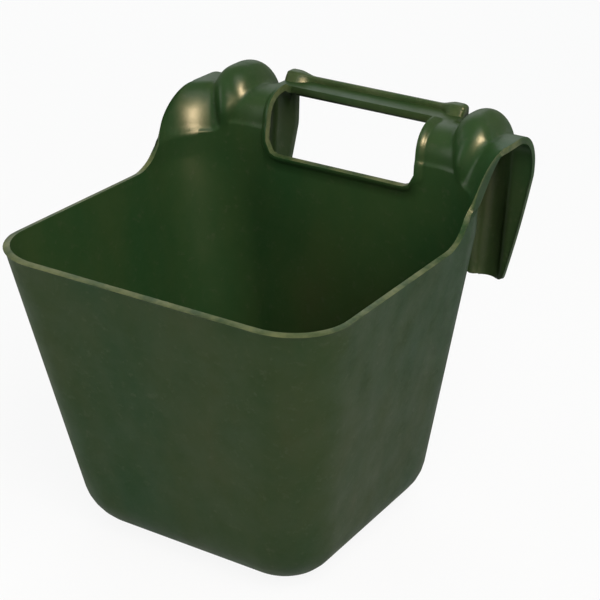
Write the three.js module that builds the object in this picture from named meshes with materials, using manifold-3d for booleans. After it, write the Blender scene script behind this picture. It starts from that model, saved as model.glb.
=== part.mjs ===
// A hook-over feeder for a horse: a tapered tub whose rear wall rises into a two-legged hook with a hand opening.
// Millimetres, +Z up, +X to the right seen from the front, -Y towards the horse. The tub stands on Z = 0.
// Depths are counted back from the front rim, heights up from the ground, until the last lines centre the model.
import * as THREE from 'three';
import { mergeVertices } from 'three/addons/utils/BufferGeometryUtils.js';
import Module from 'manifold-3d';

// Tub
const rimWidth = 280; // outside, side to side
const tubDepth = 272; // front rim to the outer face of the rear wall
const rimHeight = 240; // ground to the front and side rims
const wall = 4.2; // every wall of the moulding
const floorThickness = 4.6;
const baseWidth = 206; // where the side walls would meet the ground
const baseFrontSetback = 55; // how far the front wall leans in
const baseRearSetback = 5; // the same for the rear wall
const rimFrontCorner = 47; // plan radii of the four corners, outside
const rimRearCorner = 58;
const baseFrontCorner = 41;
const baseRearCorner = 48;
const floorEdgeRadius = 36; // outside, between floor and walls

// Shoulder, the S-shaped rise of the side rims into the hook
const shoulderLength = 86; // from where the side rim leaves the level to the rear wall's outer face
const shoulderHollowRadius = 31.5;
const shoulderCrownRadius = 53;
const shoulderAngle = THREE.MathUtils.degToRad(63);

// Hook
const creaseRise = 27; // above the rim, where the rear wall starts to lean back
const crownRise = 56; // above the rim, the flat top of the hook
const archReach = 24; // how far the arch leans back between the crease and the crown
const archFullness = 2.2; // 2 is a quarter of an ellipse, more is squarer
const hookDepth = 53; // outer face of the rear wall to the outer face of the legs
const crownRearRadius = 31;
const legDrop = 76.5; // below the rim
const legTaperRise = 18; // above the rim, where the legs start to narrow
const legTopWidth = 67; // from the side of the feeder
const legToeInset = 18.5; // from the side of the feeder to the leg's end
const legToeWidth = 29.5;

// Ribs over the hook
const ribInset = 32.5; // from the side of the feeder to the middle of a rib
const ribWidth = 38.4; // over the crown
const ribHeight = 15.5;
const ribStartWidth = 12; // at the crease
const ribStartHeight = 1.2;
const ribToeWidth = 27; // at the end of the leg
const ribToeHeight = 7.4;

// Hand opening and handle
const openingInset = 73; // from the side of the feeder
const openingSillRise = 8.8; // above the rim
const openingCorner = 11;
const handleSetback = 34; // front edge of the handle behind the panel's face
const handleFlangeDrop = 13.5; // below the crown
const lipRise = 4.4; // above the crown
const lipThickness = 4.4;
const lipInset = 59; // from the side of the feeder to the lip's end
const lipPadLength = 24;
const lipPadReach = 12;

// How the moulding is divided, and how finely it is rounded
const joint = 0.3; // gap between neighbouring regions
const overrun = 20; // how far a cut runs past what it cuts
const ribSlotReach = 7.8; // how far under the surface a rib's slot is cut
const cornerSteps = 7;
const filletSteps = 5;
const archSteps = 7;
const ribSteps = 9; // along a rib's arch and its bend
const ribSectionSteps = 10; // across a rib
const quarterTurn = Math.PI / 2;

// Derived places
const halfWidth = rimWidth / 2;
const shoulderStart = tubDepth - shoulderLength;
const legTopInner = halfWidth - legTopWidth; // half widths from the middle of the feeder
const legToeOuter = halfWidth - legToeInset;
const legToeInner = legToeOuter - legToeWidth;
const ribCentre = halfWidth - ribInset;
const openingHalf = halfWidth - openingInset;
const lipHalf = halfWidth - lipInset;
const creaseHeight = rimHeight + creaseRise;
const crownHeight = rimHeight + crownRise;
const panelDepth = tubDepth - wall; // the face of the rear wall that the horse sees
const handleFront = panelDepth + handleSetback;
const legOuterDepth = tubDepth + hookDepth;
const legInnerDepth = legOuterDepth - wall;
const legToeHeight = rimHeight - legDrop;
const legTaperHeight = rimHeight + legTaperRise;
const handleFlangeHeight = crownHeight - handleFlangeDrop;
const lipTop = crownHeight + lipRise;
const channelMiddle = tubDepth + hookDepth / 2;
const highest = crownHeight + ribHeight;

const wasm = await Module();
wasm.setup();

const plastic = { color: 0x34452a, roughness: 0.42, metalness: 0 };

// A closed body through rings of points that all have the same number of points.
// outlineOf gives a ring's flat outline, which the two end faces are cut into triangles from.
function loft(rings, outlineOf) {
  const count = rings[0].length;
  const positions = rings.flat().flatMap((point) => [point.x, point.y, point.z]);
  const index = [];
  for (let ring = 0; ring < rings.length - 1; ring += 1) {
    for (let side = 0; side < count; side += 1) {
      const here = ring * count + side;
      const next = ring * count + ((side + 1) % count);
      index.push(here, next, next + count, here, next + count, here + count);
    }
  }
  const lastStart = (rings.length - 1) * count;
  for (const [a, b, c] of THREE.ShapeUtils.triangulateShape(outlineOf(rings[0]), [])) {
    index.push(a, c, b);
  }
  for (const [a, b, c] of THREE.ShapeUtils.triangulateShape(outlineOf(rings.at(-1)), [])) {
    index.push(lastStart + a, lastStart + b, lastStart + c);
  }
  const geometry = new THREE.BufferGeometry();
  geometry.setAttribute('position', new THREE.Float32BufferAttribute(positions, 3));
  geometry.setIndex(index);
  return geometry;
}

function solid(geometry) {
  const bare = geometry.clone();
  bare.deleteAttribute('normal');
  bare.deleteAttribute('uv');
  const merged = mergeVertices(bare);
  return new wasm.Manifold(new wasm.Mesh({
    numProp: 3,
    vertProperties: new Float32Array(merged.attributes.position.array),
    triVerts: new Uint32Array(merged.index.array),
  }));
}

// A profile of depth and height, carried along X from one side to the other.
function acrossWidth(shape, fromX, toX) {
  const geometry = new THREE.ExtrudeGeometry(shape, { depth: toX - fromX, bevelEnabled: false, curveSegments: archSteps });
  const turn = new THREE.Matrix4().makeBasis(
    new THREE.Vector3(0, 1, 0),
    new THREE.Vector3(0, 0, 1),
    new THREE.Vector3(1, 0, 0),
  );
  geometry.applyMatrix4(turn);
  geometry.translate(fromX, 0, 0);
  return solid(geometry);
}

// A profile of width and height, carried back from one depth to another.
function throughDepth(shape, fromDepth, toDepth) {
  const geometry = new THREE.ExtrudeGeometry(shape, { depth: toDepth - fromDepth, bevelEnabled: false, curveSegments: archSteps });
  geometry.rotateX(quarterTurn);
  geometry.translate(0, toDepth, 0);
  return solid(geometry);
}

function block(fromX, toX, fromDepth, toDepth, fromHeight, toHeight) {
  const geometry = new THREE.BoxGeometry(toX - fromX, toDepth - fromDepth, toHeight - fromHeight);
  geometry.translate((fromX + toX) / 2, (fromDepth + toDepth) / 2, (fromHeight + toHeight) / 2);
  return solid(geometry);
}

function shapeFrom(points) {
  return new THREE.Shape(points.map(([x, y]) => new THREE.Vector2(x, y)));
}

// The tub's plan at one height, moved out by outset all round. Above the rim the walls stand upright.
function planRing(height, outset) {
  const share = Math.min(height / rimHeight, 1);
  const between = THREE.MathUtils.lerp;
  const side = between(baseWidth / 2, halfWidth, share) + outset;
  const front = between(baseFrontSetback, 0, share) - outset;
  const rear = tubDepth - between(baseRearSetback, 0, share) + outset;
  const frontRadius = between(baseFrontCorner, rimFrontCorner, share) + outset;
  const rearRadius = between(baseRearCorner, rimRearCorner, share) + outset;
  const corners = [
    [side - frontRadius, front + frontRadius, frontRadius, -quarterTurn],
    [side - rearRadius, rear - rearRadius, rearRadius, 0],
    [rearRadius - side, rear - rearRadius, rearRadius, quarterTurn],
    [frontRadius - side, front + frontRadius, frontRadius, 2 * quarterTurn],
  ];
  return corners.flatMap(([x, y, radius, start]) => (
    Array.from({ length: cornerSteps + 1 }, (_, step) => {
      const angle = start + (quarterTurn * step) / cornerSteps;
      return new THREE.Vector3(x + radius * Math.cos(angle), y + radius * Math.sin(angle), height);
    })
  ));
}

const planOutline = (ring) => ring.map((point) => new THREE.Vector2(point.x, point.y));

// The arch as seen from the side: lean is how far back its face has gone at that turn, height where.
function archPoint(turn) {
  const [forward, up] = [Math.cos(turn), Math.sin(turn)].map((share) => Math.max(share, 0) ** (2 / archFullness));
  return {
    lean: archReach * (1 - forward),
    height: creaseHeight + (crownHeight - creaseHeight) * up,
  };
}

// The same for the arch's hidden face, one wall behind.
function archBackPoint(turn) {
  const face = archPoint(turn);
  const slant = 2 - 2 / archFullness;
  const [back, down] = [Math.cos(turn), Math.sin(turn)].map((share) => Math.max(share, 0) ** slant);
  const inward = new THREE.Vector2((crownHeight - creaseHeight) * back, -archReach * down).normalize();
  return { lean: face.lean + wall * inward.x, height: face.height + wall * inward.y };
}

function turns(steps) {
  return Array.from({ length: steps + 1 }, (_, step) => (quarterTurn * step) / steps);
}

function tubOuter() {
  const rings = turns(filletSteps).reverse().map((turn) => (
    planRing(floorEdgeRadius * (1 - Math.sin(turn)), -floorEdgeRadius * (1 - Math.cos(turn)))
  ));
  rings.push(planRing(rimHeight, 0));
  for (const turn of turns(archSteps)) {
    const point = archBackPoint(turn);
    rings.push(planRing(point.height, point.lean - wall));
  }
  rings.push(planRing(crownHeight, archReach - wall));
  return solid(loft(rings, planOutline));
}

function tubInside() {
  const radius = floorEdgeRadius - wall;
  const rings = turns(filletSteps).reverse().map((turn) => (
    planRing(floorThickness + radius * (1 - Math.sin(turn)), -wall - radius * (1 - Math.cos(turn)))
  ));
  rings.push(planRing(rimHeight, -wall));
  for (const turn of turns(archSteps)) {
    const point = archPoint(turn);
    rings.push(planRing(point.height, point.lean - wall));
  }
  rings.push(planRing(highest + overrun, archReach - wall));
  return solid(loft(rings, planOutline));
}

// Crown plate, rear bend and skirt, as one bent sheet over the whole width.
function hood() {
  const bendDepth = legOuterDepth - crownRearRadius;
  const bendHeight = crownHeight - crownRearRadius;
  const innerRadius = crownRearRadius - wall;
  const sheet = new THREE.Shape();
  sheet.moveTo(channelMiddle - hookDepth, crownHeight);
  sheet.lineTo(channelMiddle - hookDepth, crownHeight - wall);
  sheet.lineTo(bendDepth, crownHeight - wall);
  sheet.absarc(bendDepth, bendHeight, innerRadius, quarterTurn, 0, true);
  sheet.lineTo(legInnerDepth, legToeHeight);
  sheet.lineTo(legOuterDepth, legToeHeight);
  sheet.lineTo(legOuterDepth, bendHeight);
  sheet.absarc(bendDepth, bendHeight, crownRearRadius, 0, quarterTurn, false);
  return acrossWidth(sheet, -halfWidth, halfWidth);
}

// Everything under the line of the side rims: level, up over the shoulder, then level with the crown.
function underRim() {
  const run = Math.sin(shoulderAngle);
  const rise = 1 - Math.cos(shoulderAngle);
  const hollowEndDepth = shoulderStart + shoulderHollowRadius * run;
  const hollowEndHeight = rimHeight + shoulderHollowRadius * rise;
  const bendStartHeight = crownHeight - shoulderCrownRadius * rise;
  const bendStartDepth = hollowEndDepth + (bendStartHeight - hollowEndHeight) / Math.tan(shoulderAngle);
  const bendEndDepth = bendStartDepth + shoulderCrownRadius * run;
  const line = new THREE.Shape();
  line.moveTo(-overrun, -overrun);
  line.lineTo(legOuterDepth + overrun, -overrun);
  line.lineTo(legOuterDepth + overrun, highest + overrun);
  line.lineTo(bendEndDepth, highest + overrun);
  line.lineTo(bendEndDepth, crownHeight);
  line.absarc(bendEndDepth, crownHeight - shoulderCrownRadius, shoulderCrownRadius, quarterTurn,
    quarterTurn + shoulderAngle, false);
  line.lineTo(hollowEndDepth, hollowEndHeight);
  line.absarc(shoulderStart, rimHeight + shoulderHollowRadius, shoulderHollowRadius, shoulderAngle - quarterTurn,
    -quarterTurn, true);
  line.lineTo(-overrun, rimHeight);
  return acrossWidth(line, -halfWidth, halfWidth);
}

// What is cut away from the skirt so that two tapering legs are left.
function legCuts() {
  const bottom = legToeHeight - overrun;
  const beyond = halfWidth + overrun;
  const between = shapeFrom([
    [-legToeInner, bottom], [legToeInner, bottom], [legToeInner, legToeHeight], [legTopInner, legTaperHeight],
    [legTopInner, handleFlangeHeight], [-legTopInner, handleFlangeHeight], [-legTopInner, legTaperHeight],
    [-legToeInner, legToeHeight],
  ]);
  const right = shapeFrom([
    [legToeOuter, bottom], [beyond, bottom], [beyond, legTaperHeight], [halfWidth, legTaperHeight],
    [legToeOuter, legToeHeight],
  ]);
  const left = shapeFrom([
    [-beyond, bottom], [-legToeOuter, bottom], [-legToeOuter, legToeHeight], [-halfWidth, legTaperHeight],
    [-beyond, legTaperHeight],
  ]);
  const end = legOuterDepth + overrun;
  return [between, right, left]
    .map((shape) => throughDepth(shape, channelMiddle, end))
    .reduce((sum, next) => sum.add(next));
}

function openingCut() {
  const half = openingHalf;
  const sill = rimHeight + openingSillRise;
  const top = crownHeight + joint;
  const frame = new THREE.Shape();
  frame.moveTo(openingCorner - half, sill);
  frame.lineTo(half - openingCorner, sill);
  frame.absarc(half - openingCorner, sill + openingCorner, openingCorner, -quarterTurn, 0, false);
  frame.lineTo(half, top - openingCorner);
  frame.absarc(half - openingCorner, top - openingCorner, openingCorner, 0, quarterTurn, false);
  frame.lineTo(openingCorner - half, top);
  frame.absarc(openingCorner - half, top - openingCorner, openingCorner, quarterTurn, 2 * quarterTurn, false);
  frame.lineTo(-half, sill + openingCorner);
  frame.absarc(openingCorner - half, sill + openingCorner, openingCorner, -2 * quarterTurn, -quarterTurn, false);
  return throughDepth(frame, panelDepth - overrun, handleFront);
}

// The line that a rib follows: up the arch from the crease, over the crown, down the leg.
// Up the arch the face's depth changes across the rib, because the tub's corner bends round there.
function ribLine() {
  const cornerX = halfWidth - rimRearCorner;
  const cornerDepth = tubDepth - rimRearCorner;
  const places = turns(ribSteps).map((turn) => {
    const face = archPoint(turn);
    const reach = rimRearCorner - wall + face.lean;
    return {
      height: face.height,
      depthAt: (x) => cornerDepth + Math.sqrt(reach ** 2 - Math.max(Math.abs(x) - cornerX, 0) ** 2),
    };
  });
  for (const turn of turns(ribSteps).reverse()) {
    places.push({
      height: crownHeight - crownRearRadius * (1 - Math.sin(turn)),
      depthAt: () => legOuterDepth - crownRearRadius * (1 - Math.cos(turn)),
    });
  }
  places.push({ height: legTaperHeight, depthAt: () => legOuterDepth });
  places.push({ height: legToeHeight, depthAt: () => legOuterDepth });
  return places;
}

// How wide and how proud a rib is along its line: it swells up the arch and dies away down the leg.
function ribSizes(points) {
  const lengths = points.map((point, place) => (place ? point.distanceTo(points[place - 1]) : 0));
  const upArch = lengths.slice(0, ribSteps + 1).reduce((sum, next) => sum + next);
  const downLeg = legTaperHeight - legToeHeight;
  let along = 0;
  return points.map((point, place) => {
    along += lengths[place];
    const swell = Math.sin(quarterTurn * Math.min(along / upArch, 1));
    const fade = Math.max(legTaperHeight - point.y, 0) / downLeg;
    const fading = place > ribSteps ? fade : 0;
    const between = THREE.MathUtils.lerp;
    return {
      half: between(between(ribStartWidth, ribWidth, swell), ribToeWidth, fading) / 2,
      proud: between(between(ribStartHeight, ribHeight, swell), ribToeHeight, fading),
    };
  });
}

// Carries a section along a rib's line. sectionOf gives [across, outwards] pairs from the rib's sizes there,
// counted towards -X so that the section turns the same way as its line.
function alongRib(centreX, sectionOf) {
  const places = ribLine();
  const points = places.map((place) => new THREE.Vector2(place.depthAt(centreX), place.height));
  const sections = ribSizes(points).map(sectionOf);
  const rings = points.map((point, place) => {
    const before = points[Math.max(place - 1, 0)];
    const after = points[Math.min(place + 1, points.length - 1)];
    const ahead = after.clone().sub(before).normalize();
    if (place === 0) {
      ahead.set(0, 1);
    }
    return sections[place].map(([across, outwards]) => new THREE.Vector3(
      centreX - across,
      places[place].depthAt(centreX - across) - ahead.y * outwards,
      point.y + ahead.x * outwards,
    ));
  });
  const ends = [sections[0], sections.at(-1)];
  return solid(loft(rings, (ring) => (
    (ring === rings[0] ? ends[0] : ends[1]).map(([across, outwards]) => new THREE.Vector2(across, outwards))
  )));
}

// A rib is bell-shaped across: it leaves the sheet level, rises and falls.
function ribShell(centreX) {
  const shares = Array.from({ length: ribSectionSteps + 1 }, (_, step) => 1 - (2 * step) / ribSectionSteps);
  const bell = (share) => (1 + Math.cos(Math.PI * share)) / 2;
  return alongRib(centreX, ({ half, proud }) => {
    const outer = shares.map((share) => [half * share, proud * bell(share)]);
    const inner = shares.toReversed().map((share) => [(half - wall) * share, proud * bell(share) - wall]);
    return [[half, -wall], ...outer, [-half, -wall], ...inner];
  });
}

// The room that a rib takes out of the sheet it stands on.
function ribSlot(centreX) {
  return alongRib(centreX, ({ half }) => {
    const side = half + joint;
    const above = wall / 2;
    return [[side, -ribSlotReach], [side, above], [-side, above], [-side, -ribSlotReach]];
  });
}

// The part of the plan seen from the tub's middle between two of its corners.
function wallSector(middle, aim, fromHeight, toHeight) {
  const reach = rimWidth + tubDepth;
  const bisector = aim[0].clone().normalize().add(aim[1].clone().normalize()).normalize();
  const halfAngle = Math.abs(aim[0].angleTo(aim[1])) / 2;
  const apex = middle.clone().addScaledVector(bisector, joint / 2 / Math.sin(halfAngle));
  const points = [apex, ...aim.map((way) => apex.clone().addScaledVector(way.clone().normalize(), reach))];
  const geometry = new THREE.ExtrudeGeometry(new THREE.Shape(points), {
    depth: toHeight - fromHeight,
    bevelEnabled: false,
  });
  geometry.translate(0, 0, fromHeight);
  return solid(geometry);
}

function handleBar() {
  const profile = shapeFrom([
    [handleFront, crownHeight - wall], [legInnerDepth, crownHeight - wall], [legInnerDepth, handleFlangeHeight],
    [legOuterDepth, handleFlangeHeight], [legOuterDepth, crownHeight], [handleFront, crownHeight],
  ]);
  return acrossWidth(profile, -legTopInner, legTopInner);
}

// The upstanding edge behind the handle, with a rounded pad at each end.
function handleLip() {
  const foot = crownHeight + joint;
  let lip = block(-lipHalf, lipHalf, legOuterDepth - lipThickness, legOuterDepth, foot, lipTop);
  for (const side of [-1, 1]) {
    const pad = new THREE.CylinderGeometry(1, 1, 1, 4 * cornerSteps);
    pad.rotateX(quarterTurn);
    pad.scale(lipPadLength / 2, lipPadReach, lipTop - foot);
    pad.translate(side * (lipHalf - lipPadLength / 2), legOuterDepth - lipThickness, (foot + lipTop) / 2);
    const front = block(-rimWidth, rimWidth, handleFront, legOuterDepth - lipThickness / 2, foot, lipTop);
    lip = lip.add(solid(pad).intersect(front));
  }
  return lip;
}

const feeder = new THREE.Group();

function addRegion(name, body) {
  const mesh = body.getMesh();
  const geometry = new THREE.BufferGeometry();
  geometry.setAttribute('position', new THREE.Float32BufferAttribute(mesh.vertProperties, 3));
  geometry.setIndex(Array.from(mesh.triVerts));
  const flat = geometry.toNonIndexed();
  flat.computeVertexNormals();
  const region = new THREE.Mesh(flat, new THREE.MeshStandardMaterial(plastic));
  region.name = name;
  feeder.add(region);
}

// The whole moulding without its ribs and handle
const sheets = tubOuter().add(hood()).subtract(tubInside()).intersect(underRim());
const shell = sheets.subtract(legCuts()).subtract(openingCut());

// Tub regions, below the crease and in front of the hook's channel
const wallTop = creaseHeight - joint;
const wallFoot = floorEdgeRadius + joint;
const widest = halfWidth + overrun;
const tubShell = shell.intersect(block(-widest, widest, -overrun, channelMiddle, -overrun, wallTop));
addRegion('tub_floor', tubShell.intersect(block(-widest, widest, -overrun, channelMiddle, -overrun, floorEdgeRadius)));

const middle = new THREE.Vector2(0, (baseFrontSetback + tubDepth) / 2);
const cornerAims = [
  [-1, baseFrontSetback / 2, baseFrontCorner, rimFrontCorner],
  [1, baseFrontSetback / 2, baseFrontCorner, rimFrontCorner],
  [1, tubDepth - baseRearSetback / 2, -baseRearCorner, -rimRearCorner],
  [-1, tubDepth - baseRearSetback / 2, -baseRearCorner, -rimRearCorner],
].map(([side, depth, baseRadius, rimRadius]) => {
  const cornerMiddle = 1 - Math.SQRT1_2;
  const pull = ((baseRadius + rimRadius) / 2) * cornerMiddle;
  const across = (halfWidth + baseWidth / 2) / 2 - Math.abs(pull);
  return new THREE.Vector2(side * across, depth + pull).sub(middle);
});
['front_wall', 'right_wall', 'rear_wall', 'left_wall'].forEach((name, place) => {
  const aims = [cornerAims[place], cornerAims[(place + 1) % cornerAims.length]];
  addRegion(name, tubShell.intersect(wallSector(middle, aims, wallFoot, wallTop)));
});

// Hook regions, above the crease or behind the channel's middle
const behindChannel = block(-widest, widest, channelMiddle, legOuterDepth + overrun, -overrun, creaseHeight);
const aboveCrease = block(-widest, widest, -overrun, legOuterDepth + overrun, creaseHeight, highest + overrun);
const handleRoom = block(-legTopInner - joint, legTopInner + joint, handleFront - joint, legOuterDepth + overrun,
  handleFlangeHeight - overrun, highest + overrun);
const hookShell = shell.intersect(behindChannel.add(aboveCrease)).subtract(handleRoom);
for (const [label, side] of [['left', -1], ['right', 1]]) {
  const centreX = side * ribCentre;
  const slotted = hookShell.subtract(ribSlot(centreX));
  const outward = [centreX, side * widest].sort((a, b) => a - b);
  const inward = [0, centreX].sort((a, b) => a - b);
  const tall = [-overrun, legOuterDepth + overrun, -overrun, highest + overrun];
  addRegion(`hook_outer_${label}`, slotted.intersect(block(...outward, ...tall)));
  addRegion(`hook_inner_${label}`, slotted.intersect(block(...inward, ...tall)));
  addRegion(`rib_${label}`, ribShell(centreX));
}
addRegion('handle_bar', handleBar());
addRegion('handle_lip', handleLip());

// The origin is under the middle of the whole feeder
const extent = new THREE.Box3().setFromObject(feeder);
feeder.position.y = -(extent.min.y + extent.max.y) / 2;

export default feeder;
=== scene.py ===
import math

import bmesh
import bpy
from mathutils import Matrix, Vector


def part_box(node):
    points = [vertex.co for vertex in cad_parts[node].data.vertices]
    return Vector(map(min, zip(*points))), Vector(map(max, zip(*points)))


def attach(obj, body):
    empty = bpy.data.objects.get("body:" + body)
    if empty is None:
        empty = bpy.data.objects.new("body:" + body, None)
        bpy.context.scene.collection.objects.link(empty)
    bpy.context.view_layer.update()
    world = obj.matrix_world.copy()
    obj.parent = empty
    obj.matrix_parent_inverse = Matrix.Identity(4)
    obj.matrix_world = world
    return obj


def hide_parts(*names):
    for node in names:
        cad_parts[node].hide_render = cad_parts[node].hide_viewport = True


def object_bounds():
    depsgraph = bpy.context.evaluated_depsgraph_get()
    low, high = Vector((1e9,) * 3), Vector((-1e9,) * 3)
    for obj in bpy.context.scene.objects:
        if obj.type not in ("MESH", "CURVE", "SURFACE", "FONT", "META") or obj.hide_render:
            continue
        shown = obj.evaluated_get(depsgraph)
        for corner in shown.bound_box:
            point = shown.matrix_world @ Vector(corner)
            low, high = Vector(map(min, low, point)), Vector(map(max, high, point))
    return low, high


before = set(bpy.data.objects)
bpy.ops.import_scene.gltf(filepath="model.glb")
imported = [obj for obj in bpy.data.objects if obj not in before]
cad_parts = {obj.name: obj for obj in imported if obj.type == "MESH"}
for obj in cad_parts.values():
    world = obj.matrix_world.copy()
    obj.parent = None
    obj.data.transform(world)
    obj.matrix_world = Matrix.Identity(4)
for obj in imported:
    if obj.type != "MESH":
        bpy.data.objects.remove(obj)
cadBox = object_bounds()
print("frame loaded")

# Places that the frame gives: depth is counted back from the front rim, as the horse sees it
frontEdge = cadBox[0].y
halfWidth = cadBox[1].x
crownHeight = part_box("handle_bar")[1].z
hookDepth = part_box("handle_bar")[1].y - frontEdge
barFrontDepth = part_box("handle_bar")[0].y - frontEdge
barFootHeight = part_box("handle_bar")[0].z
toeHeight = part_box("hook_outer_left")[0].z
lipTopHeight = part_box("handle_lip")[1].z
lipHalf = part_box("handle_lip")[1].x
ribTopHeight = cadBox[1].z

tiny = 0.00001  # two places this close count as one
mergeDistance = 0.00002

# The moulding, in metres
moulding = {
    "wall": 0.0042,
    "floorThickness": 0.0046,
    "rimHeight": 0.240,
    "tubDepth": 0.272,
    "baseHalf": 0.103,
    "baseFront": 0.055,
    "baseRear": 0.005,
    "rimFrontCorner": 0.047,
    "rimRearCorner": 0.058,
    "baseFrontCorner": 0.041,
    "baseRearCorner": 0.048,
    "floorEdgeRadius": 0.036,
    "creaseHeight": 0.2685,  # beside the hand opening
    "creaseSideHeight": 0.2605,  # beyond the ribs, by the side rims
    "creaseTurns": (math.radians(52), math.radians(72)),  # where it drops from one to the other
    "archReach": 0.024,
    "archStart": 3.2,  # beside the hand opening the face stays upright for a while
    "archSideStart": 1.3,  # by the side rims it leans back at once
    "ledge": 0.0011,  # the face steps back at the crease before it arches over
    "sideLedge": 0.0018,
    "sideGive": 0.0009,  # how softly the arch ends at the side plane
    "ledgeRise": 0.0017,
    "creaseBelow": 0.001,  # the rows lie closer from this far below the crease
    "creaseAbove": 0.004,
    "shoulderStart": 0.186,
    "shoulderLead": 0.004,  # the columns lie closer from this far before the shoulder
    "shoulderHollow": 0.0315,
    "shoulderCrown": 0.053,
    "shoulderAngle": math.radians(63),
    "crownRearRadius": 0.031,
    "rimBead": 0.0010,  # how much thicker the wall is at its rim
    "edgeRound": 0.0019,
    "sharpAngle": math.radians(52),
    "hookRimShade": 0.9,  # painted shade: how much less of the rims' light colour, wear with painted sheen, the handle and legs get than the rims, as they lie in shade
    "shadedRun": 0.012,
}

# The hand opening and the handle behind it
opening = {
    "half": 0.067,
    "sill": 0.2488,
    "corner": 0.011,
    "cornerLift": 6,  # how soon the rows below the sill's corners follow them
    "cornerSettle": 3,  # over how many corner radii the rows beside them settle
    "beadWidth": 0.0060,
    "beadProud": 0.0040,
    "beadStartDepth": 0.2,
    "beadBelow": 0.0090,
    "beadFade": 0.010,
    "barHalf": 0.0795,
    "barEndWidth": 0.004,
    "flangeHalf": 0.073,
    "barRound": 0.0045,
    "footTurn": math.radians(70),  # where the bar's foot meets the legs' bend
}

# The two legs and the rib on each
leg = {
    "taperTop": 0.258,
    "innerTop": 0.073,
    "toeOuter": 0.1215,
    "toeInner": 0.092,
    "toeCorner": 0.003,
    "bulge": 0.0010,
}

# The round rib over each leg: it leaves the wall at the crease, swells over the crown
# and fades down the leg
rib = {
    "centre": 0.1070,
    "half": 0.0156,
    "height": ribTopHeight - crownHeight,
    "footHeight": 0.260,
    "footCentre": 0.1060,
    "footHalf": 0.0030,
    "footProud": 0.0042,
    "footRise": 0.45,
    "footSpread": 1.45,
    "crestStart": 2.4,
    "fullness": 0.62,
    "valley": (0.88, 1.14),  # where the rib's foot is softened, in shares of its half width
    "toeHalf": 0.0135,
    "toeHeight": 0.0074,
}

# How finely the moulding is divided
divisions = {
    "floor": 8,
    "fillet": 8,
    "frontStraight": 10,
    "frontCorner": 14,
    "sideStraight": 9,
    "shoulder": 9,
    "rearCornerRim": 16,
    "rearCornerHook": 32,
    "panelOutside": 8,
    "panelBead": 6,
    "opening": 15,
    "wallRows": 26,
    "sillRows": 5,
    "openingRows": 4,
    "creaseRows": 14,
    "archRows": 20,
    "crownRows": 9,
    "bendStartRows": 4,
    "barRows": 16,
    "bendEndRows": 5,
    "legRows": 24,
    "archTable": 200,
    "halvings": 40,
    "edgeSteps": 4,
}


def mix(a, b, share):
    return a + (b - a) * share


def smooth(low, high, value):
    share = min(max((value - low) / (high - low), 0.0), 1.0)
    return share * share * (3 - 2 * share)


def spread(low, high, count):
    # evenly spaced values after low, up to high
    return [mix(low, high, (step + 1) / count) for step in range(count)]


def toward(azimuth, elevation):
    # the direction of a camera or lamp, seen from the feeder
    return Vector((math.sin(azimuth) * math.cos(elevation), -math.cos(azimuth) * math.cos(elevation),
                   math.sin(elevation)))


def mirrorHalf(bm):
    bmesh.ops.mirror(bm, geom=bm.verts[:] + bm.edges[:] + bm.faces[:], matrix=Matrix.Identity(4),
                     merge_dist=mergeDistance, axis="X")
    bmesh.ops.remove_doubles(bm, verts=bm.verts[:], dist=mergeDistance)


def ringPoint(station, height, outset):
    # a place on the tub's plan at one height; above the rim the walls stand upright
    m = moulding
    share = min(height / m["rimHeight"], 1)
    side = mix(m["baseHalf"], halfWidth, share) + outset
    front = mix(m["baseFront"], 0, share) - outset
    rear = m["tubDepth"] - mix(m["baseRear"], 0, share) + outset
    frontRadius = mix(m["baseFrontCorner"], m["rimFrontCorner"], share) + outset
    rearRadius = mix(m["baseRearCorner"], m["rimRearCorner"], share) + outset
    part, at = station
    if part == "front":
        return (side - frontRadius) * at, front
    if part == "frontCorner":
        return (side - frontRadius + frontRadius * math.sin(at),
                front + frontRadius - frontRadius * math.cos(at))
    if part == "side":
        return side, mix(front + frontRadius, rear - rearRadius, at)
    if part == "rearCorner":
        return (side - rearRadius + rearRadius * math.cos(at),
                rear - rearRadius + rearRadius * math.sin(at))
    return (side - rearRadius) * at, rear


def creaseAt(sideShare):
    return mix(moulding["creaseHeight"], moulding["creaseSideHeight"], sideShare)


def archLean(height, sideShare):
    # how far the face has leaned back at a height above the crease
    m = moulding
    crease = creaseAt(sideShare)
    up = min(max((height - crease) / (crownHeight - crease), 0), 1)
    if up == 0:
        return 0.0
    start = mix(m["archStart"], m["archSideStart"], sideShare)
    forward = math.sqrt(max(1 - up ** start, 0))
    step = mix(m["ledge"], m["sideLedge"], sideShare)
    ledge = step * (1 - math.exp((crease - height) / m["ledgeRise"])) * (1 - up ** 2)
    return m["archReach"] * (1 - forward) + ledge


def archTable():
    # pairs of length and height up the inside, from the floor's edge to the crown
    crease = moulding["creaseHeight"]
    table = [(0.0, startHeight), (crease - startHeight, crease)]
    steps = divisions["archTable"]
    for step in range(1, steps + 1):
        height = mix(crease, crownHeight, math.sin(math.pi / 2 * step / steps))
        last = table[-1]
        lean = archLean(height, 0) - archLean(last[1], 0)
        table.append((last[0] + math.hypot(height - last[1], lean), height))
    return table


startHeight = moulding["floorThickness"] + moulding["floorEdgeRadius"] - moulding["wall"]
profile = archTable()
wholeLength = profile[-1][0]


def upProfile(length):
    # the height at a length up the profile
    for (lengthA, heightA), (lengthB, heightB) in zip(profile, profile[1:]):
        if length <= lengthB:
            return mix(heightA, heightB, (length - lengthA) / (lengthB - lengthA))
    return crownHeight


def lengthAt(wanted):
    # the length up the profile at which a height is reached
    for (lengthA, heightA), (lengthB, heightB) in zip(profile, profile[1:]):
        if wanted <= heightB:
            return mix(lengthA, lengthB, (wanted - heightA) / (heightB - heightA))
    return wholeLength


def sideShareAt(station):
    # 0 beside the opening, 1 by the side rims
    if station[0] == "rear":
        return 0.0
    if station[0] == "rearCorner":
        return 1 - smooth(*moulding["creaseTurns"], station[1])
    return 1.0


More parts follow.
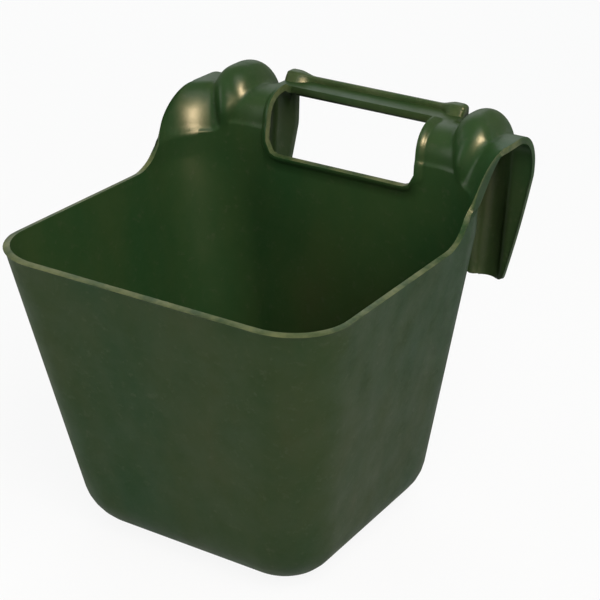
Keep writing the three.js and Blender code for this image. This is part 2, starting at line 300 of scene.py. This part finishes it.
def facePlace(station, height):
    # a place on the inside of the wall or on the arch, which the side plane cuts off softly
    m = moulding
    lean = archLean(height, sideShareAt(station))
    x, depth = ringPoint(station, height, lean - m["wall"])
    if lean > 0:
        give = m["sideGive"] * smooth(0, m["wall"], lean) + tiny
        x -= give * math.log(1 + math.exp((x - halfWidth) / give))
    return x, depth, height


def rimLine(depth):
    # the side rims seen from the side: level, up over the shoulder, then level with the crown
    m = moulding
    run = math.sin(m["shoulderAngle"])
    rise = 1 - math.cos(m["shoulderAngle"])
    hollowEnd = m["shoulderStart"] + m["shoulderHollow"] * run
    hollowEndHeight = m["rimHeight"] + m["shoulderHollow"] * rise
    bendStartHeight = crownHeight - m["shoulderCrown"] * rise
    bendStart = hollowEnd + (bendStartHeight - hollowEndHeight) / math.tan(m["shoulderAngle"])
    bendEnd = bendStart + m["shoulderCrown"] * run
    if depth <= m["shoulderStart"]:
        return m["rimHeight"]
    if depth <= hollowEnd:
        across = depth - m["shoulderStart"]
        return m["rimHeight"] + m["shoulderHollow"] - math.sqrt(m["shoulderHollow"] ** 2 - across ** 2)
    if depth <= bendStart:
        return hollowEndHeight + (depth - hollowEnd) * math.tan(m["shoulderAngle"])
    if depth <= bendEnd:
        across = bendEnd - depth
        return crownHeight - m["shoulderCrown"] + math.sqrt(m["shoulderCrown"] ** 2 - across ** 2)
    return crownHeight


def topLength(station):
    # how far up the profile a column goes before it meets the rim line
    low, high = 0.0, wholeLength
    for _ in range(divisions["halvings"]):
        middle = (low + high) / 2
        depth, height = facePlace(station, upProfile(middle))[1:]
        if height < rimLine(depth):
            low = middle
        else:
            high = middle
    return high


def stations():
    # the columns of the half plan, from the middle of the front to the middle of the rear
    d = divisions
    m = moulding
    flat = halfWidth - m["rimRearCorner"]
    rimSide = m["tubDepth"] - m["rimFrontCorner"] - m["rimRearCorner"]
    shoulderShare = (m["shoulderStart"] - m["shoulderLead"] - m["rimFrontCorner"]) / rimSide
    reach = m["rimRearCorner"] - m["wall"] + m["archReach"]
    rimTurn = math.acos((halfWidth - flat) / reach)
    columns = [("front", 0.0)]
    columns += [("front", at) for at in spread(0, 1, d["frontStraight"])]
    columns += [("frontCorner", at) for at in spread(0, math.pi / 2, d["frontCorner"])]
    columns += [("side", at) for at in spread(0, shoulderShare, d["sideStraight"])]
    columns += [("side", at) for at in spread(shoulderShare, 1, d["shoulder"])]
    columns += [("rearCorner", at) for at in spread(0, rimTurn, d["rearCornerRim"])]
    firstHook = len(columns) - 1
    columns += [("rearCorner", at) for at in spread(rimTurn, math.pi / 2, d["rearCornerHook"])]
    barEnd = opening["flangeHalf"] / flat
    sides = opening["half"] / flat
    columns += [("rear", at) for at in spread(1, barEnd, d["panelOutside"])]
    barColumn = len(columns) - 1
    columns += [("rear", at) for at in spread(barEnd, sides, d["panelBead"])]
    openingColumn = len(columns) - 1
    columns += [("rear", at) for at in spread(sides, 0, d["opening"])]
    return columns, firstHook, barColumn, openingColumn


def rows():
    # the rows, from the middle of the floor up the wall, over the arch and crown and down the legs
    d = divisions
    listed = [("floor", 0.0)]
    listed += [("floor", at) for at in spread(0, 1, d["floor"])]
    listed += [("fillet", at) for at in spread(0, math.pi / 2, d["fillet"])]
    sill = opening["sill"]
    ledgeLow = moulding["creaseSideHeight"] - moulding["creaseBelow"]
    ledgeHigh = moulding["creaseHeight"] + moulding["creaseAbove"]
    marks = [lengthAt(height) for height in
             (startHeight, sill - opening["beadWidth"], sill, ledgeLow, ledgeHigh, crownHeight)]
    counts = [d["wallRows"], d["sillRows"], d["openingRows"], d["creaseRows"], d["archRows"]]
    for low, high, count in zip(marks, marks[1:], counts):
        listed += [("wall", at / wholeLength) for at in spread(low, high, count)]
        if high == marks[2]:
            sillRow = len(listed) - 1
    topRow = len(listed) - 1
    bendStart = math.asin((barFrontDepth - (hookDepth - moulding["crownRearRadius"]))
                          / moulding["crownRearRadius"])
    listed += [("crown", at) for at in spread(0, 1, d["crownRows"])]
    listed += [("bend", at) for at in spread(0, bendStart, d["bendStartRows"])]
    barRow = len(listed) - 1
    listed += [("bend", at) for at in spread(bendStart, opening["footTurn"], d["barRows"])]
    footRow = len(listed) - 1
    listed += [("bend", at) for at in spread(opening["footTurn"], math.pi / 2, d["bendEndRows"])]
    listed += [("leg", at) for at in spread(0, 1, d["legRows"])]
    return listed, sillRow, topRow, barRow, footRow


def sillLift(x):
    # the opening's lower corners are round, and the rows beside them settle back to the sill
    corner = opening["corner"]
    across = x - (opening["half"] - corner)
    if across <= 0:
        return 0.0
    if across <= corner:
        return corner - math.sqrt(max(corner ** 2 - across ** 2, 0))
    return corner * (1 - smooth(corner, corner * opening["cornerSettle"], across))


def wallPoint(station, share, top):
    # share of the way up the inside, with the opening's corner bent into the rows beside it
    length = share * top
    flat = halfWidth - moulding["rimRearCorner"]
    if station[0] == "rear":
        lift = sillLift(station[1] * flat)
        sill = opening["sill"] - startHeight
        if length <= sill:
            length += lift * (length / sill) ** opening["cornerLift"]
        else:
            length += lift * (1 - smooth(sill, wholeLength, length))
    return facePlace(station, upProfile(length))


def bendPoint(x, turn):
    # the legs' round bend, with the handle bar's squarer one in the middle
    radius = moulding["crownRearRadius"]
    centreDepth = hookDepth - radius
    depth = centreDepth + radius * math.sin(turn)
    height = crownHeight - radius + radius * math.cos(turn)
    startTurn = math.asin((barFrontDepth - centreDepth) / radius)
    barShare = 1 - smooth(opening["barHalf"], opening["barHalf"] + opening["barEndWidth"], x)
    if barShare <= 0:
        return depth, height
    if turn <= startTurn:
        return depth, mix(height, crownHeight, barShare)
    footTurn = opening["footTurn"]
    corner = opening["barRound"]
    flatLength = hookDepth - corner - barFrontDepth
    cornerLength = corner * math.pi / 2
    dropLength = crownHeight - corner - barFootHeight
    path = min((turn - startTurn) / (footTurn - startTurn), 1) * (flatLength + cornerLength + dropLength)
    if path <= flatLength:
        barDepth, barHeight = barFrontDepth + path, crownHeight
    elif path <= flatLength + cornerLength:
        cornerTurn = (path - flatLength) / corner
        barDepth = hookDepth - corner + corner * math.sin(cornerTurn)
        barHeight = crownHeight - corner + corner * math.cos(cornerTurn)
    else:
        barDepth = hookDepth
        barHeight = crownHeight - corner - (path - flatLength - cornerLength)
    if turn > footTurn:
        settle = (turn - footTurn) / (math.pi / 2 - footTurn)
        barHeight = mix(barFootHeight, crownHeight - radius, settle)
    return mix(depth, barDepth, barShare), mix(height, barHeight, barShare)


def legPoint(x, share):
    # the legs taper to round-cornered toes
    top = crownHeight - moulding["crownRearRadius"]
    across = (x - leg["innerTop"]) / (halfWidth - leg["innerTop"])
    toeWidth = leg["toeOuter"] - leg["toeInner"]
    fromEdge = min(across, 1 - across) * toeWidth
    corner = leg["toeCorner"]
    rise = 0.0
    if fromEdge < corner:
        rise = corner - math.sqrt(max(corner ** 2 - (corner - fromEdge) ** 2, 0))
    height = mix(top, toeHeight + rise, share)
    down = max(leg["taperTop"] - height, 0) / (leg["taperTop"] - toeHeight)
    bulge = leg["bulge"] * math.sin(math.pi * down)
    outer = mix(halfWidth, leg["toeOuter"], down) + bulge
    inner = mix(leg["innerTop"], leg["toeInner"], down) - bulge
    return mix(inner, outer, across), hookDepth, height


def facePoint(station, top, row):
    # a place on the face that the horse sees: inside of the tub, top of the crown, outside of the legs
    m = moulding
    kind, at = row
    innerRadius = m["floorEdgeRadius"] - m["wall"]
    middleDepth = (m["baseFront"] + m["tubDepth"]) / 2
    if kind == "floor":
        x, depth = ringPoint(station, m["floorThickness"], -m["wall"] - innerRadius)
        return x * at, mix(middleDepth, depth, at), m["floorThickness"]
    if kind == "fillet":
        height = m["floorThickness"] + innerRadius * (1 - math.cos(at))
        outset = -m["wall"] - innerRadius * (1 - math.sin(at))
        x, depth = ringPoint(station, height, outset)
        return x, depth, height
    if kind == "wall":
        return wallPoint(station, at, top)
    x, archDepth = ringPoint(station, crownHeight, m["archReach"] - m["wall"])
    x = min(x, halfWidth)
    if kind == "crown":
        return x, mix(archDepth, hookDepth - m["crownRearRadius"], at), crownHeight
    if kind == "bend":
        depth, height = bendPoint(x, at)
        return x, depth, height
    return legPoint(x, at)


def ribSection(across):
    # how full the rib is at a share of its half width
    return max(1 - across * across, 0.0) ** rib["fullness"]


def ribSpan(depth, height):
    # the rib's middle and half width, and how far it has climbed or faded there
    if depth < hookDepth - moulding["crownRearRadius"] and height < crownHeight - tiny:
        climb = min(max((height - rib["footHeight"]) / (crownHeight - rib["footHeight"]), 0), 1)
        middle = mix(rib["footCentre"], rib["centre"], climb)
        return middle, mix(rib["footHalf"], rib["half"], climb ** rib["footSpread"]), climb, 0.0
    fade = max((leg["taperTop"] - height) / (leg["taperTop"] - toeHeight), 0)
    return rib["centre"], mix(rib["half"], rib["toeHalf"], fade), 1.0, fade


def onRibSide(depth, height):
    # the part of the face that a rib can cross
    if depth < moulding["tubDepth"] - moulding["rimRearCorner"]:
        return False
    return height >= rib["footHeight"] or depth >= hookDepth - moulding["wall"]


def ribMove(place, normal):
    # how far a place on the face moves to stand on the rib
    m = moulding
    x, depth, height = place
    if not onRibSide(depth, height):
        return Vector((0, 0, 0))
    centre, half, climb, fade = ribSpan(depth, height)
    section = ribSection((abs(x) - centre) / half)
    if climb == 1:
        return normal * mix(rib["height"], rib["toeHeight"], fade) * section
    cornerDepth = m["tubDepth"] - m["rimRearCorner"]
    fromCorner = Vector((max(abs(x) - (halfWidth - m["rimRearCorner"]), 0), depth - cornerDepth, 0))
    forward = math.sqrt(max(1 - climb ** rib["crestStart"], 0))
    proud = rib["footProud"] * smooth(0, rib["footRise"], climb) * (1 - climb ** 2)
    reach = m["rimRearCorner"] - m["wall"] + m["archReach"] * (1 - forward) - proud
    back = min(reach - fromCorner.length, 0)
    outward = fromCorner.normalized()
    outward.x = math.copysign(outward.x, x)
    return (outward * back + Vector((0, 0, rib["height"] * climb))) * section


def makeFace(bm):
    # one grid over half the face, from the floor's middle to the toes
    columns, firstHook, barColumn, openingColumn = stations()
    listed, sillRow, topRow, barRow, footRow = rows()
    bmesh.ops.create_grid(bm, x_segments=len(columns) - 1, y_segments=len(listed) - 1, size=0.5)
    tops = [topLength(station) if place <= firstHook else wholeLength
            for place, station in enumerate(columns)]
    spot = {}
    for vert in bm.verts:
        column = round((vert.co.x + 0.5) * (len(columns) - 1))
        row = round((vert.co.y + 0.5) * (len(listed) - 1))
        spot[vert] = (column, row)
        x, depth, height = facePoint(columns[column], tops[column], listed[row])
        vert.co = Vector((x, frontEdge + depth, height))
    spare = []
    for face in bm.faces:
        column = min(spot[vert][0] for vert in face.verts)
        row = min(spot[vert][1] for vert in face.verts)
        beyondRim = row >= topRow and column < firstHook
        inOpening = column >= openingColumn and sillRow <= row < barRow
        underBar = column >= barColumn and row >= footRow
        if beyondRim or inOpening or underBar:
            spare.append(face)
    bmesh.ops.delete(bm, geom=spare, context="FACES")
    mirrorHalf(bm)
    bmesh.ops.dissolve_degenerate(bm, dist=tiny, edges=bm.edges[:])
    bmesh.ops.recalc_face_normals(bm, faces=bm.faces[:])
    floorFace = min(bm.faces, key=lambda face: face.calc_center_median().z)
    if floorFace.normal.z < 0:
        bmesh.ops.reverse_faces(bm, faces=bm.faces[:])


def raiseRibs(bm):
    # the ribs swell out of the face, and the valleys along their feet are softened
    bm.normal_update()
    moves = {}
    valleys = []
    for vert in bm.verts:
        depth, height = vert.co.y - frontEdge, vert.co.z
        moves[vert] = ribMove((vert.co.x, depth, height), vert.normal)
        if onRibSide(depth, height):
            centre, half = ribSpan(depth, height)[:2]
            if rib["valley"][0] < abs(abs(vert.co.x) - centre) / half < rib["valley"][1]:
                valleys.append(vert)
    for vert, move in moves.items():
        vert.co += move
    bmesh.ops.smooth_vert(bm, verts=valleys, factor=0.5,
                          use_axis_x=True, use_axis_y=True, use_axis_z=True)


def openingDistance(x, depth, height):
    # how far a place on the panel or crown lies from the hand opening's edge
    corner = opening["corner"]
    sideways = abs(x) - (opening["half"] - corner)
    below = opening["sill"] + corner - height
    if depth > moulding["tubDepth"] + moulding["archReach"] or below < 0:
        below = 0.0
    return math.hypot(max(sideways, 0), max(below, 0)) - corner


def raiseBead(bm):
    # the round bead that frames the hand opening
    bm.normal_update()
    moves = {}
    width = opening["beadWidth"]
    for vert in bm.verts:
        depth = vert.co.y - frontEdge
        onPanel = opening["beadStartDepth"] <= depth <= barFrontDepth
        if not onPanel or vert.co.z < opening["sill"] - opening["beadBelow"]:
            continue
        away = openingDistance(vert.co.x, depth, vert.co.z)
        if away < width:
            fade = 1 - smooth(barFrontDepth - opening["beadFade"], barFrontDepth, depth)
            share = 1 - (away / width) ** 2
            moves[vert] = vert.normal * opening["beadProud"] * share * fade
    for vert, move in moves.items():
        vert.co += move


def thicken(bm):
    # the sheet gets its wall: a little more along the rim, and never beyond the side plane
    bm.normal_update()
    push = bm.verts.layers.float_vector.new("push")
    wearAndSheen = bm.verts.layers.float.new("rimWearAndSheen")
    outer = bm.verts.layers.float.new("outerSkin")
    for vert in bm.verts:
        # painted shade: the handle and legs lie in shade, so their rims get less of the light rim colour,
        # which is wear with painted sheen
        shade = smooth(barFrontDepth - moulding["shadedRun"], barFrontDepth, vert.co.y - frontEdge)
        vert[wearAndSheen] = 1 - moulding["hookRimShade"] * shade if vert.is_boundary else 0.0
        vert[push] = vert.normal * (moulding["wall"] + moulding["rimBead"] * vert.is_boundary)
    lifted = bmesh.ops.extrude_face_region(bm, geom=bm.faces[:], use_keep_orig=True)
    for vert in lifted["geom"]:
        if not isinstance(vert, bmesh.types.BMVert):
            continue
        faceHeight = vert.co.z
        vert[outer] = 1
        vert.co -= vert[push]
        beyond = abs(vert.co.x) - halfWidth
        if beyond > 0:
            # what the side plane cuts off the thickness is made up downwards
            vert.co.x = math.copysign(halfWidth, vert.co.x)
            left = moulding["wall"] ** 2 - (abs(vert[push].x) - beyond) ** 2 - vert[push].y ** 2
            vert.co.z = min(vert.co.z, faceHeight - math.sqrt(max(left, 0)))
    bmesh.ops.recalc_face_normals(bm, faces=bm.faces[:])
    strip = bm.faces.layers.int.new("rimStrip")
    for face in bm.faces:
        face[strip] = int(all(vert[wearAndSheen] > 0 for vert in face.verts))


def roundEdges(bm):
    # the edges are rounded, and the wear and its painted sheen stay on the rims' rounded strips
    sharp = [edge for edge in bm.edges if len(edge.link_faces) == 2
             and edge.calc_face_angle(0) > moulding["sharpAngle"]]
    rounded = bmesh.ops.bevel(bm, geom=sharp, offset=moulding["edgeRound"], offset_type="OFFSET",
                              segments=divisions["edgeSteps"], profile=0.5, affect="EDGES",
                              clamp_overlap=True, material=-1)
    strip = bm.faces.layers.int["rimStrip"]
    wearAndSheen = bm.verts.layers.float["rimWearAndSheen"]
    for face in rounded["faces"]:
        face[strip] = 1
    for vert in bm.verts:
        vert[wearAndSheen] *= min(face[strip] for face in vert.link_faces)


# The plastic's colours and surface
plastic = {
    "outside": {0.36: (0.0170, 0.0430, 0.0150, 1), 0.62: (0.0315, 0.0490, 0.0175, 1),
                0.80: (0.0520, 0.0500, 0.0230, 1)},  # the stains' colours by their strength
    # painted bounce light: the face side, inside the tub and over the hook, is greener and brighter than
    # the back, as light bounced between green walls would make it
    "inside": {0.36: (0.0190, 0.0540, 0.0165, 1), 0.62: (0.0340, 0.0610, 0.0190, 1),
               0.80: (0.0500, 0.0580, 0.0230, 1)},
    "stains": {"scale": 9, "detail": 5, "roughness": 0.6},
    "stretch": (1, 1, 0.45),  # the stains run down the walls
    "dusty": (0.0720, 0.0820, 0.0500, 1),
    "specks": {"scale": 150, "detail": 3, "roughness": 0.7, "from": (0.58, 0.80), "to": (0, 0.42)},
    # the rims' light colour: real wear with a painted highlight, as up-facing rounded rims catch the
    # light
    "wornAndSheen": (0.1180, 0.1340, 0.0560, 1),
    "patches": {"scale": 55, "detail": 4, "roughness": 0.65, "from": (0.36, 0.66), "to": (0.05, 1)},
    "scuffs": {"scale": 38, "detail": 6, "roughness": 0.7, "from": (0.3, 0.7)},
    "roughness": (0.36, 0.56),  # where it is least and most scuffed
    "coat": (0.25, 0.12),
    "coatRoughness": 0.30,
    "coatBending": 1.5,
    "specular": 0.0,  # all the gloss comes from the coat
    "grain": {"scale": 1400, "detail": 2, "roughness": 0.5, "strength": 0.22, "height": 0.0003},
    "waves": {"scale": 45, "detail": 2, "roughness": 0.5, "strength": 0.12, "height": 0.0012},
}


def addNoise(nodes, links, vector, look):
    noise = nodes.new("ShaderNodeTexNoise")
    noise.inputs["Scale"].default_value = look["scale"]
    noise.inputs["Detail"].default_value = look["detail"]
    noise.inputs["Roughness"].default_value = look["roughness"]
    links.new(vector, noise.inputs["Vector"])
    return noise.outputs["Fac"]


def addRange(nodes, links, value, fromRange, toRange):
    span = nodes.new("ShaderNodeMapRange")
    span.inputs["From Min"].default_value, span.inputs["From Max"].default_value = fromRange
    span.inputs["To Min"].default_value, span.inputs["To Max"].default_value = toRange
    links.new(value, span.inputs["Value"])
    return span.outputs["Result"]


def addSpots(nodes, links, vector, look):
    # noise of which only the strongest part counts
    return addRange(nodes, links, addNoise(nodes, links, vector, look), look["from"], look["to"])


def addStains(nodes, links, stains, colors):
    ramp = nodes.new("ShaderNodeValToRGB")
    elements = ramp.color_ramp.elements
    places = sorted(colors)
    elements[0].position = places[0]
    elements[1].position = places[-1]
    for position in places[1:-1]:
        elements.new(position)
    for element, position in zip(elements, places):
        element.color = colors[position]
    links.new(stains, ramp.inputs["Fac"])
    return ramp.outputs["Color"]


def addMix(nodes, links, share, first, second):
    # a blend of two colours, of which the second may be a fixed one
    blend = nodes.new("ShaderNodeMix")
    blend.data_type = "RGBA"
    links.new(share, blend.inputs[0])
    links.new(first, blend.inputs[6])
    if isinstance(second, tuple):
        blend.inputs[7].default_value = second
    else:
        links.new(second, blend.inputs[7])
    return blend.outputs[2]


def addAttribute(nodes, name):
    attribute = nodes.new("ShaderNodeAttribute")
    attribute.attribute_name = name
    return attribute.outputs["Fac"]


def addBump(nodes, links, vector, look):
    bump = nodes.new("ShaderNodeBump")
    bump.inputs["Strength"].default_value = look["strength"]
    bump.inputs["Distance"].default_value = look["height"]
    links.new(addNoise(nodes, links, vector, look), bump.inputs["Height"])
    return bump


def plasticMaterial():
    material = bpy.data.materials.new("olive plastic")
    material.use_nodes = True
    nodes = material.node_tree.nodes
    links = material.node_tree.links
    shader = nodes["Principled BSDF"]
    shader.inputs["Specular IOR Level"].default_value = plastic["specular"]
    shader.inputs["Coat Roughness"].default_value = plastic["coatRoughness"]
    shader.inputs["Coat IOR"].default_value = plastic["coatBending"]
    place = nodes.new("ShaderNodeTexCoord").outputs["Object"]
    stretch = nodes.new("ShaderNodeMapping")
    stretch.inputs["Scale"].default_value = plastic["stretch"]
    links.new(place, stretch.inputs["Vector"])
    stretched = stretch.outputs["Vector"]

    # greener inside the tub and on the hook's top, which is painted green bounce light, with stains and
    # specks of dust
    stains = addNoise(nodes, links, stretched, plastic["stains"])
    stained = addMix(nodes, links, addAttribute(nodes, "outerSkin"),
                     addStains(nodes, links, stains, plastic["inside"]),
                     addStains(nodes, links, stains, plastic["outside"]))
    specks = addSpots(nodes, links, place, plastic["specks"])
    dusted = addMix(nodes, links, specks, stained, plastic["dusty"])

    # patchy wear along the rims, in a light colour that also paints a highlight on them
    wornAndSheen = nodes.new("ShaderNodeMath")
    wornAndSheen.operation = "MULTIPLY"
    links.new(addAttribute(nodes, "rimWearAndSheen"), wornAndSheen.inputs[0])
    links.new(addSpots(nodes, links, place, plastic["patches"]), wornAndSheen.inputs[1])
    color = addMix(nodes, links, wornAndSheen.outputs[0], dusted, plastic["wornAndSheen"])
    links.new(color, shader.inputs["Base Color"])

    # scuffs that dull the gloss
    scuffs = addNoise(nodes, links, place, plastic["scuffs"])
    for name, toRange in (("Roughness", plastic["roughness"]), ("Coat Weight", plastic["coat"])):
        links.new(addRange(nodes, links, scuffs, plastic["scuffs"]["from"], toRange), shader.inputs[name])

    # fine grain and the slow waves of a moulded wall
    grain = addBump(nodes, links, place, plastic["grain"])
    waves = addBump(nodes, links, stretched, plastic["waves"])
    links.new(grain.outputs["Normal"], waves.inputs["Normal"])
    for name in ("Normal", "Coat Normal"):
        links.new(waves.outputs["Normal"], shader.inputs[name])
    return material


def finishPiece(name, bm, material):
    mesh = bpy.data.meshes.new(name)
    bm.to_mesh(mesh)
    bm.free()
    for polygon in mesh.polygons:
        polygon.use_smooth = True
    piece = bpy.data.objects.new(name, mesh)
    bpy.context.scene.collection.objects.link(piece)
    piece.data.materials.append(material)
    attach(piece, "root")
    return piece


# The lip along the handle's rear edge, with a mound that flares forward at each end
lip = {
    "thickness": 0.0044,
    "padLength": 0.0236,
    "padReach": 0.0112,
    "padCorner": 0.0046,
    "padFlat": 0.40,
    "padRise": 0.0030,  # how much higher the mounds stand than the lip
    "padEndDrop": 0.0024,
    "padTop": 0.45,  # how much of a mound's reach its top takes up
    "footSink": 0.0015,
    "edgeRound": 0.0016,
    # the lip's share of the rims' light colour, which is wear with painted sheen
    "wearAndSheen": 0.35,
    "lengthSteps": 34,
    "roundSteps": 5,
    "frontSteps": 8,
}


def lipSection(x):
    # the outline across the lip at one place along it: up the rear, over the top, down the front
    rear = frontEdge + hookDepth
    foot = crownHeight - lip["footSink"]
    fromEnd = max(lipHalf - x, 0)
    atPad = 1 - smooth(lip["padLength"] * lip["padFlat"], lip["padLength"], fromEnd)
    corner = lip["padCorner"]
    cornerShare = 1 - min(fromEnd / corner, 1)
    rounding = 1 - math.sqrt(1 - cornerShare ** 2)
    top = lipTopHeight + lip["padRise"] * atPad - lip["padEndDrop"] * rounding
    reach = max((lip["padReach"] - corner * rounding) * atPad, 0)
    front = rear - lip["thickness"] - reach
    topFront = rear - lip["thickness"] - reach * lip["padTop"]
    radius = lip["edgeRound"]
    points = [Vector((x, rear, foot))]
    for middle, start in ((rear - radius, 0), (topFront + radius, math.pi / 2)):
        for step in range(lip["roundSteps"] + 1):
            turn = start + math.pi / 2 * step / lip["roundSteps"]
            points.append(Vector((x, middle + radius * math.cos(turn),
                                  top - radius + radius * math.sin(turn))))
    shoulder = points[-1]
    for step in range(1, lip["frontSteps"] + 1):
        share = step / lip["frontSteps"]
        fall = mix(share, smooth(0, 1, share), atPad)
        points.append(Vector((x, mix(shoulder.y, front, share), mix(shoulder.z, foot, fall))))
    return points


def makeLip(bm):
    # a grid follows the outline along the lip, and its ends and underside are closed
    steps = lip["lengthSteps"]
    around = len(lipSection(0)) - 1
    bmesh.ops.create_grid(bm, x_segments=steps, y_segments=around, size=0.5)
    wearAndSheen = bm.verts.layers.float.new("rimWearAndSheen")
    for vert in bm.verts:
        vert[wearAndSheen] = lip["wearAndSheen"]
        share = vert.co.x + 0.5
        row = round((vert.co.y + 0.5) * around)
        vert.co = lipSection(lipHalf * math.sin(math.pi / 2 * share))[row]
    mirrorHalf(bm)
    foot = crownHeight - lip["footSink"]
    for side in (-1, 1):
        ends = {vert for vert in bm.verts if vert.co.x * side > lipHalf - tiny}
        feet = [vert for vert in ends if vert.co.z < foot + tiny]
        loop = [edge for edge in bm.edges if edge.is_boundary and ends.issuperset(edge.verts)]
        bmesh.ops.edgeloop_fill(bm, edges=loop + [bm.edges.new(feet)])
    bmesh.ops.holes_fill(bm, edges=[edge for edge in bm.edges if edge.is_boundary], sides=0)
    bmesh.ops.recalc_face_normals(bm, faces=bm.faces[:])


olivePlastic = plasticMaterial()

feederMesh = bmesh.new()
makeFace(feederMesh)
raiseRibs(feederMesh)
raiseBead(feederMesh)
thicken(feederMesh)
roundEdges(feederMesh)
feederBody = finishPiece("feederMoulding", feederMesh, olivePlastic)
regions = [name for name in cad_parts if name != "handle_lip"]
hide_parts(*regions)
print("moulding made with", len(feederBody.data.polygons), "faces")

lipMesh = bmesh.new()
makeLip(lipMesh)
handleLip = finishPiece("handleLip", lipMesh, olivePlastic)
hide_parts("handle_lip")
print("lip made")

# Camera at the photo's angle
camera = {
    "focalPixels": 1745.3,
    "pixels": 600,
    "sensor": 36,
    "azimuth": math.radians(30.94),
    "elevation": math.radians(24.55),
    "roll": math.radians(1.56),
    "distance": 1.2345,
    "target": Vector((0.0612, 0.1105, 0.2115)),  # its depth is counted from the front rim
    "nearest": 0.05,
    "farthest": 60,
}


def addCamera():
    data = bpy.data.cameras.new("camera")
    data.sensor_width = camera["sensor"]
    data.lens = camera["focalPixels"] / camera["pixels"] * camera["sensor"]
    data.clip_start = camera["nearest"]
    data.clip_end = camera["farthest"]
    cameraObject = bpy.data.objects.new("camera", data)
    bpy.context.scene.collection.objects.link(cameraObject)
    azimuth, roll = camera["azimuth"], camera["roll"]
    back = toward(azimuth, camera["elevation"])
    right = Vector((math.cos(azimuth), math.sin(azimuth), 0))
    up = back.cross(right)
    rolledRight = right * math.cos(roll) + up * math.sin(roll)
    rolledUp = up * math.cos(roll) - right * math.sin(roll)
    turn = Matrix((rolledRight, rolledUp, back)).transposed().to_4x4()
    aim = camera["target"] + Vector((0, frontEdge, 0))
    cameraObject.matrix_world = Matrix.Translation(aim + back * camera["distance"]) @ turn
    bpy.context.scene.camera = cameraObject


# Soft studio light and a pale floor
studio = {
    "floorSize": 30,
    "floorColor": (0.8, 0.8, 0.79, 1),
    "floorGlow": 0.90,  # how much of the seen floor is plain white; the rest shows light and shadow
    "worldColor": (0.86, 0.96, 1.0, 1),
    "worldStrength": 0.17,
    "seenColor": (0.97, 0.97, 0.97, 1),
    "seenShare": 1,
    "lamps": {
        # the first two make only highlights
        "glint": {"power": 46, "size": 0.16, "distance": 1.0, "azimuth": 70, "elevation": 25,
                  "color": (1, 0.74, 0.46), "lights": False},
        "glow": {"power": 46, "size": 0.7, "distance": 1.4, "azimuth": 66, "elevation": 26,
                 "color": (1, 0.72, 0.40), "lights": False},
        "soft": {"power": 42, "size": 1.6, "distance": 2.0, "azimuth": 56, "elevation": 46,
                 "color": (1, 0.97, 0.92), "lights": True},
        "front": {"power": 33, "size": 1.6, "distance": 2.4, "azimuth": -52, "elevation": 6,
                  "color": (1, 0.97, 0.92), "lights": True},
        "behind": {"power": 20, "size": 1.8, "distance": 2.4, "azimuth": 215, "elevation": 32,
                   "color": (0.92, 0.97, 1), "lights": True},
    },
    "aim": Vector((0, 0, 0.20)),
}


def addLamp(name, lamp):
    data = bpy.data.lights.new(name, "AREA")
    data.energy = lamp["power"]
    data.size = lamp["size"]
    data.color = lamp["color"]
    lampObject = bpy.data.objects.new(name, data)
    away = toward(math.radians(lamp["azimuth"]), math.radians(lamp["elevation"]))
    lampObject.location = studio["aim"] + away * lamp["distance"]
    lampObject.visible_diffuse = lamp["lights"]
    lampObject.rotation_euler = (-away).to_track_quat("-Z", "Y").to_euler()
    bpy.context.scene.collection.objects.link(lampObject)


def seenShare(nodes, links, whole):
    # the whole share for what the camera sees, in a reflection or through glass too, otherwise 0
    path = nodes.new("ShaderNodeLightPath")
    seen = path.outputs["Is Camera Ray"]
    for ray in ("Is Glossy Ray", "Is Transmission Ray"):
        either = nodes.new("ShaderNodeMath")
        either.operation = "MAXIMUM"
        links.new(seen, either.inputs[0])
        links.new(path.outputs[ray], either.inputs[1])
        seen = either.outputs[0]
    share = nodes.new("ShaderNodeMath")
    share.operation = "MULTIPLY"
    share.inputs[1].default_value = whole
    links.new(seen, share.inputs[0])
    return share.outputs[0]


def floorPaint():
    # white to the camera and to reflections, with the shadow kept
    paint = bpy.data.materials.new("palePaper")
    paint.use_nodes = True
    nodes = paint.node_tree.nodes
    links = paint.node_tree.links
    nodes.remove(nodes["Principled BSDF"])
    matt = nodes.new("ShaderNodeBsdfDiffuse")
    matt.inputs["Color"].default_value = studio["floorColor"]
    white = nodes.new("ShaderNodeEmission")
    blend = nodes.new("ShaderNodeMixShader")
    links.new(seenShare(nodes, links, studio["floorGlow"]), blend.inputs["Fac"])
    links.new(matt.outputs["BSDF"], blend.inputs[1])
    links.new(white.outputs["Emission"], blend.inputs[2])
    links.new(blend.outputs["Shader"], nodes["Material Output"].inputs["Surface"])
    return paint


def addStudio():
    bm = bmesh.new()
    bmesh.ops.create_grid(bm, x_segments=1, y_segments=1, size=studio["floorSize"] / 2)
    mesh = bpy.data.meshes.new("floor")
    bm.to_mesh(mesh)
    bm.free()
    floor = bpy.data.objects.new("floor", mesh)
    bpy.context.scene.collection.objects.link(floor)
    floor.data.materials.append(floorPaint())
    for name, lamp in studio["lamps"].items():
        addLamp(name, lamp)
    world = bpy.data.worlds.new("studio")
    bpy.context.scene.world = world
    world.use_nodes = True
    nodes = world.node_tree.nodes
    links = world.node_tree.links
    light = nodes["Background"]
    light.inputs["Color"].default_value = studio["worldColor"]
    light.inputs["Strength"].default_value = studio["worldStrength"]
    white = nodes.new("ShaderNodeBackground")
    white.inputs["Color"].default_value = studio["seenColor"]
    blend = nodes.new("ShaderNodeMixShader")
    links.new(seenShare(nodes, links, studio["seenShare"]), blend.inputs["Fac"])
    links.new(light.outputs["Background"], blend.inputs[1])
    links.new(white.outputs["Background"], blend.inputs[2])
    links.new(blend.outputs["Shader"], nodes["World Output"].inputs["Surface"])


addCamera()
addStudio()
bpy.context.scene.view_settings.view_transform = "Standard"
print("camera and light set")
